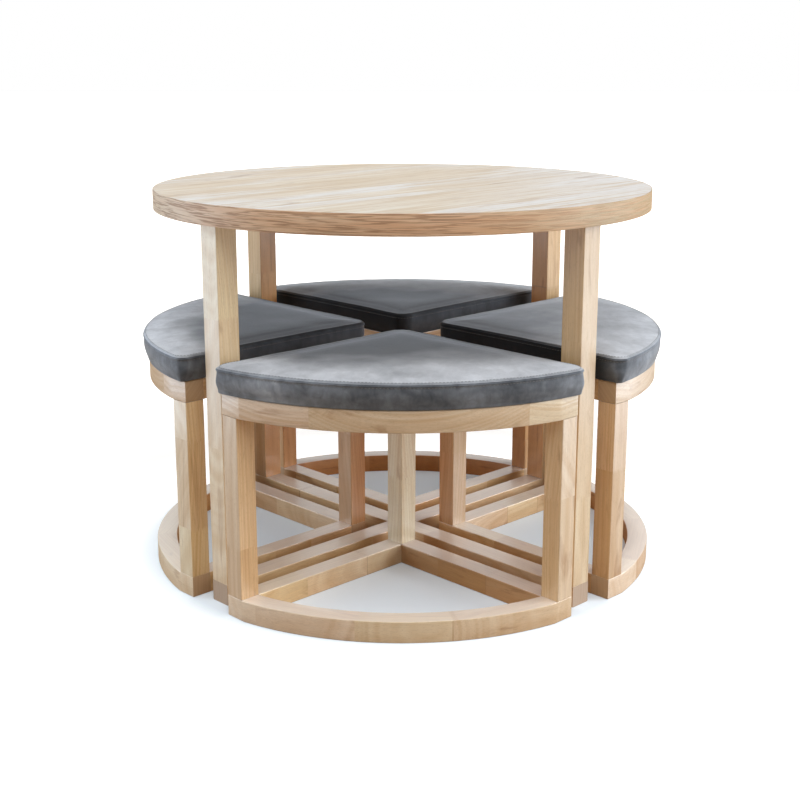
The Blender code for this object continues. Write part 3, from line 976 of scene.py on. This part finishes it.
def rise(x, y):
    """How far the crown stands above the seam at a point, as a share of the crown."""
    away = (x - CUSHION_SIDE, y - CUSHION_SIDE, CUSHION_RADIUS - math.hypot(x, y))
    nearest = -CREASE_BLEND * math.log(sum(math.exp(-d / CREASE_BLEND) for d in away))
    inside = nearest + CREASE_BLEND
    depth = max(0.0, min(1.0, inside / CROWN_REACH))
    rolled = 1.0 - math.exp(-max(0.0, inside) / EDGE_ROLL)
    shape = ROLL_SHARE * rolled + (1.0 - ROLL_SHARE) * (1.0 - (1.0 - depth) ** CROWN_CURVE)
    if swollen_tree is None:
        return shape
    lifts = []
    for right, up in ((0, 0), (1, 0), (-1, 0), (0, 1), (0, -1)):
        start = Vector((x + SMOOTHING * right, y + SMOOTHING * up, 1.0))
        hit = swollen_tree.ray_cast(start, Vector((0, 0, -1)))[0]
        lifts.append(shape if hit is None else (hit.z - SEAM_HEIGHT) / TRAVEL_CAP)
    lift = sum(lifts) / len(lifts)
    return (1.0 - CLOTH_SHARE) * shape + CLOTH_SHARE * max(0.0, min(1.0, lift))


def side_bulge(height_share):
    """The side strip is fullest at its middle and pinched at the seam and at the rim."""
    return SIDE_BULGE * math.sin(math.pi * height_share)


def pocket_outline():
    """The seat board's outline with a little room, cut off at the posts' faces like the board."""
    inset = BOARD_SIDE - POCKET_CLEARANCE - CUSHION_SIDE
    face = BOARD_FACE + POCKET_CLEARANCE
    plain = sector_ring(inset, corner=POCKET_CLEARANCE, tip=POCKET_CLEARANCE, pull=0.0)
    return [(min(x, face), min(y, face)) for x, y in plain]


def cushion_rings():
    """The rings from the pocket to the crown, and the numbers of the two stitched ones."""
    sharp = pocket_outline()
    ceiling = BOARD_TOP + POCKET_CLEARANCE
    rings = [
        towards_middle(sharp, 0.5, ceiling),
        flat(sharp, ceiling),
        flat(sharp, cushion_low + POCKET_CLEARANCE),
    ]
    for tuck, lift in RIM_ROLL:
        outline = sector_ring(SIDE_TAPER + STRIP_INSET + RIM_TUCK * tuck, corner=CORNER_LOW)
        rings.append(flat(outline, cushion_low + RIM_ROUND * lift))
    low, high = cushion_low + RIM_ROUND, SEAM_HEIGHT - STITCH_ROW
    for i in range(SIDE_STEPS + 1):
        share = i / SIDE_STEPS
        tucked = SIDE_TAPER * (1.0 - share) ** TAPER_CURVE
        corner = CORNER_LOW + (CORNER_ROUND - CORNER_LOW) * share**CORNER_CURVE
        outline = sector_ring(tucked + STRIP_INSET - side_bulge(share), corner=corner)
        rings.append(flat(outline, low + (high - low) * share))
    side_row = len(rings) - 1
    rings += [flat(sector_ring(inset), SEAM_HEIGHT + lift) for inset, lift in SEAM_ROLL_UP]
    first = SEAM_HEIGHT + PANEL_LIFT
    panel_start = sector_ring(STITCH_ROW)
    rings.append([(x, y, first + rise(x, y) * CROWN * 0.5) for x, y in panel_start])
    panel_row = len(rings) - 1
    lid = cushion_high - first
    for i in range(1, PANEL_STEPS):
        share = (i / PANEL_STEPS) ** PANEL_CURVE
        blend = min(1.0, 0.5 + 4.0 * share)
        ring = towards_middle(panel_start, share, 0.0)
        rings.append([(x, y, first + rise(x, y) * lid * blend) for x, y, _ in ring])
    return rings, side_row, panel_row


base_rings, SIDE_ROW, PANEL_ROW = cushion_rings()
print("rings:", len(base_rings), "points:", sum(len(r) for r in base_rings))

# %% [markdown]
# Small unevennesses make it cloth: a slow waviness, puckers that stand on the seam where the thread
# gathers the cover, folds that fan out at the corners, and at the strip's corners some gathers, a
# dimple below the seam and a swell above the rim. Most are smooth noise, so each stool only needs
# its own offset to look sewn by hand. Points under the rim stay put, because the cushion lies flat
# on its frame there.

# %% Sew the four cushions
WAVINESS = 0.0006
PUCKER = 0.0006
PUCKER_REACH = 0.014
FOLD = 0.0005
FOLD_REACH = 0.055
GATHER = 0.0014
GATHER_REACH = 0.030
GATHER_FREE = 0.018
CORNER_TURN = 0.006
DIMPLE = 0.0018
DIMPLE_REACH = 0.012
DIMPLE_DEPTH = 0.013
DIMPLE_HEIGHT = 0.007
SWELL = 0.0008
SWELL_HEIGHT = 0.016
RIM_RINGS = 6
SEAM_REACH = 0.010
WAVE_SCALE = 16.0
PUCKER_SCALE = Vector((75, 75, 22))
GATHER_SCALE = Vector((60, 60, 14))
FAN_SCALE = Vector((5.0, 9.0, 12.0))
FAR_CORNER = math.sqrt(CUSHION_RADIUS**2 - CUSHION_SIDE**2)
CORNER_PAIRS = ((0, 0), (1, 0), (0, 1))
CUSHION_CORNERS = [
    Vector([FAR_CORNER if far else CUSHION_SIDE for far in pair]) for pair in CORNER_PAIRS
]


def bell(distance, reach):
    return math.exp(-((distance / reach) ** 2))


def corner_folds(point, seed, corner):
    """Folds that fan out from a corner, and on the strip gathers, a dimple and a swell."""
    away = point.xy - corner
    fan = Vector((math.atan2(away.y, away.x), away.length, point.z)) * FAN_SCALE
    fold = noise.noise(fan + seed) * FOLD * math.exp(-away.length / FOLD_REACH)
    if point.z < SEAM_HEIGHT - STITCH_ROW:
        dimple = bell(SEAM_HEIGHT - DIMPLE_DEPTH - point.z, DIMPLE_HEIGHT)
        swell = bell(cushion_low + SWELL_HEIGHT - point.z, DIMPLE_HEIGHT)
        fold += (swell * SWELL - dimple * DIMPLE) * bell(away.length, DIMPLE_REACH)
        free = min(1.0, max(0.0, (point.z - cushion_low - RIM_ROUND) / GATHER_FREE))
        gather = math.exp(-away.length / GATHER_REACH) * free
        fold += noise.noise(point * GATHER_SCALE + seed) * GATHER * gather
    return fold


def unevenness(point, seed):
    """How far the cover stands out of its plain shape at a point."""
    slow = noise.noise(point * WAVE_SCALE + seed) * WAVINESS
    edge = min(point.x - CUSHION_SIDE, point.y - CUSHION_SIDE, CUSHION_RADIUS - point.xy.length)
    near_seam = math.exp(-abs(point.z - SEAM_HEIGHT) / SEAM_REACH)
    near_seam *= math.exp(-max(0.0, edge) / PUCKER_REACH)
    pucker = noise.noise(point * PUCKER_SCALE + seed) * PUCKER * near_seam
    return slow + pucker + sum(corner_folds(point, seed, corner) for corner in CUSHION_CORNERS)


def outward(ring_number, point):
    """Roughly the way the cover faces: upwards on the panel, sideways on the strip."""
    if ring_number >= PANEL_ROW:
        return Vector((0, 0, 1))
    radial = Vector((point.x, point.y, 0))
    gaps = {
        (-1, 0, 0): point.x - CUSHION_SIDE,
        (0, -1, 0): point.y - CUSHION_SIDE,
        tuple(radial.normalized()): CUSHION_RADIUS - radial.length,
    }
    pulls = (Vector(way) * math.exp(-gap / CORNER_TURN) for way, gap in gaps.items())
    return sum(pulls, Vector()).normalized()


def sewn_rings(seed):
    """The plain rings with this cushion's own unevenness."""
    rings = []
    for number, ring in enumerate(base_rings):
        points = [Vector(p) for p in ring]
        if number > RIM_RINGS:
            points = [p + outward(number, p) * unevenness(p, seed) for p in points]
        rings.append(points)
    return rings


SUEDE_SEEDS = {name: Vector((7.3 * i, 3.1 * i, 1.7 * i)) for i, name in enumerate(STOOLS, 1)}
CUSHIONS = {}
SEWN = {}
for stool, heading in STOOLS.items():
    rings = sewn_rings(SUEDE_SEEDS[stool])
    crown_point = (PANEL_MIDDLE.x, PANEL_MIDDLE.y, sum(p.z for p in rings[-1]) / len(rings[-1]))
    mesh = mesh_of(rings_to_bmesh(rings, crown_point), stool + "_upholstery")
    mesh.transform(stool_turn(heading))
    mesh.shade_smooth()
    cushion = piece_from(mesh, stool + "_upholstery", stool, [stool + "_cushion"])
    CUSHIONS[stool], SEWN[stool] = cushion, rings
print("cushions:", {name: len(c.data.vertices) for name, c in CUSHIONS.items()})

# %% [markdown]
# ## Topstitching
#
# Two rows of stitches hold the seam allowance down, one on the strip just below the seam and one on
# the panel just above it. Each stitch is a short thread, real geometry, thickest in its middle,
# that dives into the cloth at both ends.

# %% Stitches along a ring
STITCH_LENGTH = 0.0046
STITCH_GAP = 0.0016
THREAD_RADIUS = 0.00042
THREAD_LIFT = 0.00012
THREAD_SIDES = 6
UP = Vector((0, 0, 1))
PANEL_LEAN = 0.35


def evenly_along(ring, spacing):
    """Places and directions at even distances along a closed ring."""
    count = len(ring)
    lengths = [(ring[(i + 1) % count] - ring[i]).length for i in range(count)]
    stitches = int(sum(lengths) / spacing)
    step = sum(lengths) / stitches
    place, index, done = [], 0, 0.0
    for number in range(stitches):
        wanted = number * step
        while done + lengths[index] < wanted:
            done += lengths[index]
            index += 1
        start, end = ring[index], ring[(index + 1) % count]
        along = (end - start).normalized()
        place.append((start + along * (wanted - done), along))
    return place


def add_stitch(bm, middle, along, out):
    """One thread: a spindle whose ends dip into the cloth."""
    across = along.cross(out).normalized()
    turns = [4 * QUARTER * i / THREAD_SIDES for i in range(THREAD_SIDES)]
    rings = []
    for share in (-1.0, -0.7, 0.0, 0.7, 1.0):
        thick = THREAD_RADIUS * (1.0 - 0.75 * share**4)
        sunk = THREAD_LIFT - 1.6 * THREAD_RADIUS * share**4
        centre = middle + along * (share * STITCH_LENGTH / 2) + out * sunk
        rings.append([centre + (across * math.cos(a) + out * math.sin(a)) * thick for a in turns])
    bm.faces.new(skinned(bm, rings))


STITCHES = {}
for stool, heading in STOOLS.items():
    bm = bmesh.new()
    for row in (SIDE_ROW, PANEL_ROW):
        for middle, along in evenly_along(SEWN[stool][row], STITCH_LENGTH + STITCH_GAP):
            out = along.cross(UP)
            if row == PANEL_ROW:
                out = (out * PANEL_LEAN + UP).normalized()
            add_stitch(bm, middle, along, out)
    mesh = mesh_of(bm, stool + "_topstitching")
    mesh.transform(stool_turn(heading))
    mesh.shade_smooth()
    STITCHES[stool] = piece_from(mesh, stool + "_topstitching", stool)
print("stitch faces:", {name: len(s.data.polygons) for name, s in STITCHES.items()})

# %% [markdown]
# ## Suede and thread
#
# Microsuede is a short, dense pile. Seen along the surface its fibre tips catch the light, which is
# what the sheen of the shader is for, and where a hand has brushed the pile it lies lighter or
# darker, which clouds and shorter strokes mottle in. Light and shade are painted into the colour as
# well: the top is painted lighter than the side strip, pale towards the rim where light reaches in
# past the table top and dark towards the tip in its shade, and each part lighter or darker by where
# it lies and faces in the set. The fibre itself is a fine bump.

# %% Grey microsuede
SUEDE_DARK = (0.0336, 0.0374, 0.0446)
# The strip's lighter colour: part of its mottling, and painted light, as it shows only towards the
# outer arc.
SUEDE_MOTTLE_AND_PAINTED_LIGHT = (0.2193, 0.2418, 0.2744)
# Painted shade and light on the top panel: a dark colour towards the tip, a lighter one there on
# the right of the set, and a pale one towards the rim.
SUEDE_SHADE_AND_THREAD_DARK = (0.028, 0.023, 0.020)
SUEDE_PAINTED_RIGHT_SHADE = (0.105, 0.105, 0.110)
SUEDE_PAINTED_LIT = (0.575, 0.590, 0.620)
SUEDE_PLAIN = {
    "Specular IOR Level": 0.10,
    "Sheen Weight": 0.55,
    "Sheen Roughness": 0.40,
    "Sheen Tint": (0.90, 0.94, 1.0),
}
# The radii over which the panel's painted light comes in, on the left of the set and on its right.
PAINTED_LIGHT_FROM, PAINTED_LIGHT_TO = (0.375, 0.245), (0.46, 0.53)
SIDE_STOOLS = 0.30
PAINTED_LIGHT_REACH = (0.44, 0.51)
PAINTED_SHADE_REACH = (0.47, 0.51)
PILE_DEPTH = 0.0004
THREAD_GREY = (0.26, 0.27, 0.28)
THREAD_DEPTH = 0.0002


def panel_suede(w, point, radius):
    """The top panel: painted light towards the rim, painted shade towards the tip under the table
    top.
    """
    side = w.split(point)["X"]
    ends = [w.within(side, -SIDE_STOOLS, SIDE_STOOLS, *e) for e in (PAINTED_LIGHT_FROM, PAINTED_LIGHT_TO)]
    drift = w.maths("SUBTRACT", radius, 0.08)
    wandering = w.maths("MULTIPLY_ADD", w.noise(point, (9.0, 9.0, 2.0)), 0.16, drift)
    shaded_panel = w.mix(w.within(side, 0.08, 0.26), SUEDE_SHADE_AND_THREAD_DARK, SUEDE_PAINTED_RIGHT_SHADE)
    panel = w.mix(w.within(wandering, *ends), shaded_panel, SUEDE_PAINTED_LIT)
    # Painted light: the panel is lighter on the far left and towards the right of the set, and
    # darker just left of its middle.
    left = w.within(side, -0.50, -0.34, 1.48, 0.85)
    return w.shade(panel, w.times(left, w.within(side, -0.20, 0.40, 1.0, 1.36)))


def strip_suede(w, point, radius, lean, mottled):
    """The side strip: painted shade on its inner sides, painted light on its outer arc and where it
    faces left or right.
    """
    # Painted light: the lighter mottle shows only towards the outer arc.
    outer = w.within(radius, *PAINTED_LIGHT_REACH, 0.05, 1.0)
    shown = w.times(w.within(mottled, 0.0, 1.0, 0.25, 0.75), outer)
    strip = w.mix(shown, SUEDE_DARK, SUEDE_MOTTLE_AND_PAINTED_LIGHT)
    # Painted shade and light on the inner strips: darker where they face left, a little lighter
    # where they face right.
    inner = w.within(lean, -0.3, 0.3, -0.78, 0.20)
    inward = w.within(radius, *PAINTED_SHADE_REACH, 1.0, 0.0)
    strip = w.shade(strip, w.maths("MULTIPLY_ADD", inner, inward, 1.0))
    # Painted light where the strip faces left or right.
    left = w.within(w.maths("ABSOLUTE", w.maths("ADD", lean, 0.5)), 0.10, 0.38, 0.75, 0.08)
    left = w.times(left, w.within(lean, -0.1, 0.0, 1.0, 0.0))
    lit = w.maths("ADD", left, w.within(lean, 0.5, 1.0, 0.0, 0.90))
    combed = w.within(w.noise(point, (95.0, 95.0, 20.0)), 0.35, 0.70, 0.97, 1.15)
    return w.shade(strip, w.times(w.maths("ADD", lit, 1.0), combed))


def microsuede():
    material, w, shader = new_material("grey_microsuede", SUEDE_PLAIN)
    place = w.add("ShaderNodeTexCoord", {})
    point, normal = place["Object"], w.split(place["Normal"])
    radius = w.span(point, LEVEL)
    clouds = w.layer(point, (12.0, 12.0, 26.0), 2.5, 0.4, 0.28, 0.72)
    strokes = w.layer(point, (66.0, 46.0, 60.0), 2.5, 0.5, 0.25, 0.75)
    pile = w.noise(point, (1500.0, 1500.0, 1500.0))
    mottled = w.maths("MULTIPLY_ADD", clouds, 0.6, w.times(strokes, 0.4))
    strip = strip_suede(w, point, radius, normal["X"], mottled)
    # Painted sheen: faces that look up take the panel's lighter colour and the sides the strip's
    # darker one; the rolled edge by the seam is blended towards the strip's as painted shade over
    # its highlight.
    colour = w.mix(w.within(normal["Z"], 0.70, 0.985), strip, panel_suede(w, point, radius))
    colour = w.shade(colour, w.within(mottled, 0.0, 1.0, 0.66, 1.28))
    colour = w.mix(w.within(pile, 0.35, 0.70, 0.0, 0.25), colour, SUEDE_DARK)
    height = w.maths("ADD", pile, w.times(strokes, 0.8))
    w.finish(shader, colour, w.within(clouds, 0.0, 1.0, 0.95, 0.85), height, 0.25, PILE_DEPTH)
    return material


def sewing_thread():
    material, w, shader = new_material("grey_thread")
    point = w.add("ShaderNodeTexCoord", {})["Object"]
    twist = w.noise(point, (1800.0, 1800.0, 3200.0), 1.0)
    colour = w.mix(w.within(twist, 0.3, 0.7), THREAD_GREY, SUEDE_SHADE_AND_THREAD_DARK)
    w.finish(shader, colour, w.within(twist, 0.3, 0.7, 0.55, 0.75), twist, 0.6, THREAD_DEPTH)
    return material


suede = microsuede()
thread = sewing_thread()
for stool in STOOLS:
    CUSHIONS[stool].data.materials.append(suede)
    STITCHES[stool].data.materials.append(thread)
print("suede nodes:", len(suede.node_tree.nodes), "thread nodes:", len(thread.node_tree.nodes))

# %% [markdown]
# ## Floor and light
#
# The set stands on a white studio floor. The floor is lit like everything else, and so keeps the
# soft shadows between the rails, but what the camera sees of it is lifted by a little light of its
# own, so that it ends in pure white. The lift is weaker in a ring further out, so that a stool that
# has been slid out stands on a faint shadow. Large soft suns do for most lamps here, because their
# light is as strong far out on the floor as it is close by.

# %% The floor
FLOOR_SIZE = 60.0
FLOOR_SEEN = (0.74, 0.79, 0.83)
FLOOR_OUTSIDE = (0.84, 0.81, 0.78)
FLOOR_BOUNCED = (0.50, 0.35, 0.22)
LIFT_RADII = (0.50, 0.60)
LIFT_STRENGTHS = (0.13, 0.80)
LIFT_TINTS = (0.86, 1.00, 1.10), (1.00, 0.97, 0.94)
FADE_RADII = (0.66, 0.84)
RETURN_RADII = (1.04, 1.25)
LIFT_FADE = 0.42
FLOOR_DROP = 0.0005


def floor_material():
    plain = {"Roughness": 0.9, "Specular IOR Level": 0.1}
    material, w, shader = new_material("studio_floor", plain)
    ray = w.add("ShaderNodeLightPath", {})
    seen = w.maths("MAXIMUM", ray["Is Camera Ray"], ray["Is Transmission Ray"])
    radius = w.vector("LENGTH", w.add("ShaderNodeTexCoord", {})["Object"])
    outside = w.within(radius, *LIFT_RADII)
    colour = w.mix(seen, FLOOR_BOUNCED, w.mix(outside, FLOOR_SEEN, FLOOR_OUTSIDE))
    w.fill(shader.inputs["Base Color"], colour)
    back = w.within(radius, *RETURN_RADII, LIFT_FADE, 0.0)
    fade = w.times(w.within(radius, *FADE_RADII), back)
    lift = w.maths("SUBTRACT", w.within(radius, *LIFT_RADII, *LIFT_STRENGTHS), fade)
    glow = {"Color": w.mix(outside, *LIFT_TINTS), "Strength": w.times(seen, lift)}
    both = {0: shader.outputs[0], 1: w.add("ShaderNodeEmission", glow)[0]}
    surface = material.node_tree.nodes["Material Output"].inputs["Surface"]
    w.fill(surface, w.add("ShaderNodeAddShader", both)[0])
    return material


floor_mesh = bmesh.new()
bmesh.ops.create_grid(floor_mesh, x_segments=8, y_segments=8, size=FLOOR_SIZE / 2)
floor = linked("studio_floor", mesh_of(floor_mesh, "studio_floor"))
floor.location.z = -FLOOR_DROP
floor.data.materials.append(floor_material())

# %% The lamps and the sky
# The kind of each lamp, where it shines from, its strength, its spread in degrees or its size in
# metres, and its colour.
LAMPS = {
    "sun_front_top": ("SUN", (0.0, -0.60, 1.00), 1.85, 50, (0.94, 0.97, 1.0)),
    "sun_right": ("SUN", (1.0, -0.10, 0.40), 2.15, 45, (0.98, 0.99, 1.0)),
    "sun_right_front": ("SUN", (1.0, -0.80, 0.60), 0.25, 45, (0.85, 0.92, 1.0)),
    "sun_left": ("SUN", (-1.0, -0.10, 0.40), 0.72, 45, (0.94, 0.97, 1.0)),
    "box_left": ("AREA", (-1.35, -0.10, 0.50), 5.6, 0.9, (0.68, 0.83, 1.0)),
    "box_right": ("AREA", (1.35, -0.10, 0.50), 5.6, 0.9, (0.74, 0.87, 1.0)),
}
BOX_AIM = Vector((0.0, -0.1, 0.40))
for name, (kind, place, strength, size, colour) in LAMPS.items():
    lamp = bpy.data.lights.new(name, kind)
    lamp.energy = strength
    lamp.color = colour
    lit = linked(name, lamp)
    away = Vector(place)
    if kind == "SUN":
        lamp.angle = math.radians(size)
    else:
        away -= BOX_AIM
        lamp.size = size
        lit.location = place
        lit.visible_camera = False
    lit.rotation_euler = away.to_track_quat("Z", "Y").to_euler()

SKY_FILL = 0.02
world = bpy.data.worlds.new("studio")
bpy.context.scene.world = world
world.use_nodes = True
sky = Wiring(world.node_tree)
rays = sky.add("ShaderNodeLightPath", {})
bent_ray = sky.maths("MAXIMUM", rays["Is Glossy Ray"], rays["Is Transmission Ray"])
white_for = sky.maths("MAXIMUM", rays["Is Camera Ray"], bent_ray)
background = world.node_tree.nodes["Background"]
sky.fill(background.inputs["Color"], WHITE)
sky.fill(background.inputs["Strength"], sky.within(white_for, 0.0, 1.0, SKY_FILL, 1.0))
print("lamps:", list(LAMPS))

# %% [markdown]
# ## Finish

# %% Finish
bpy.context.view_layer.update()
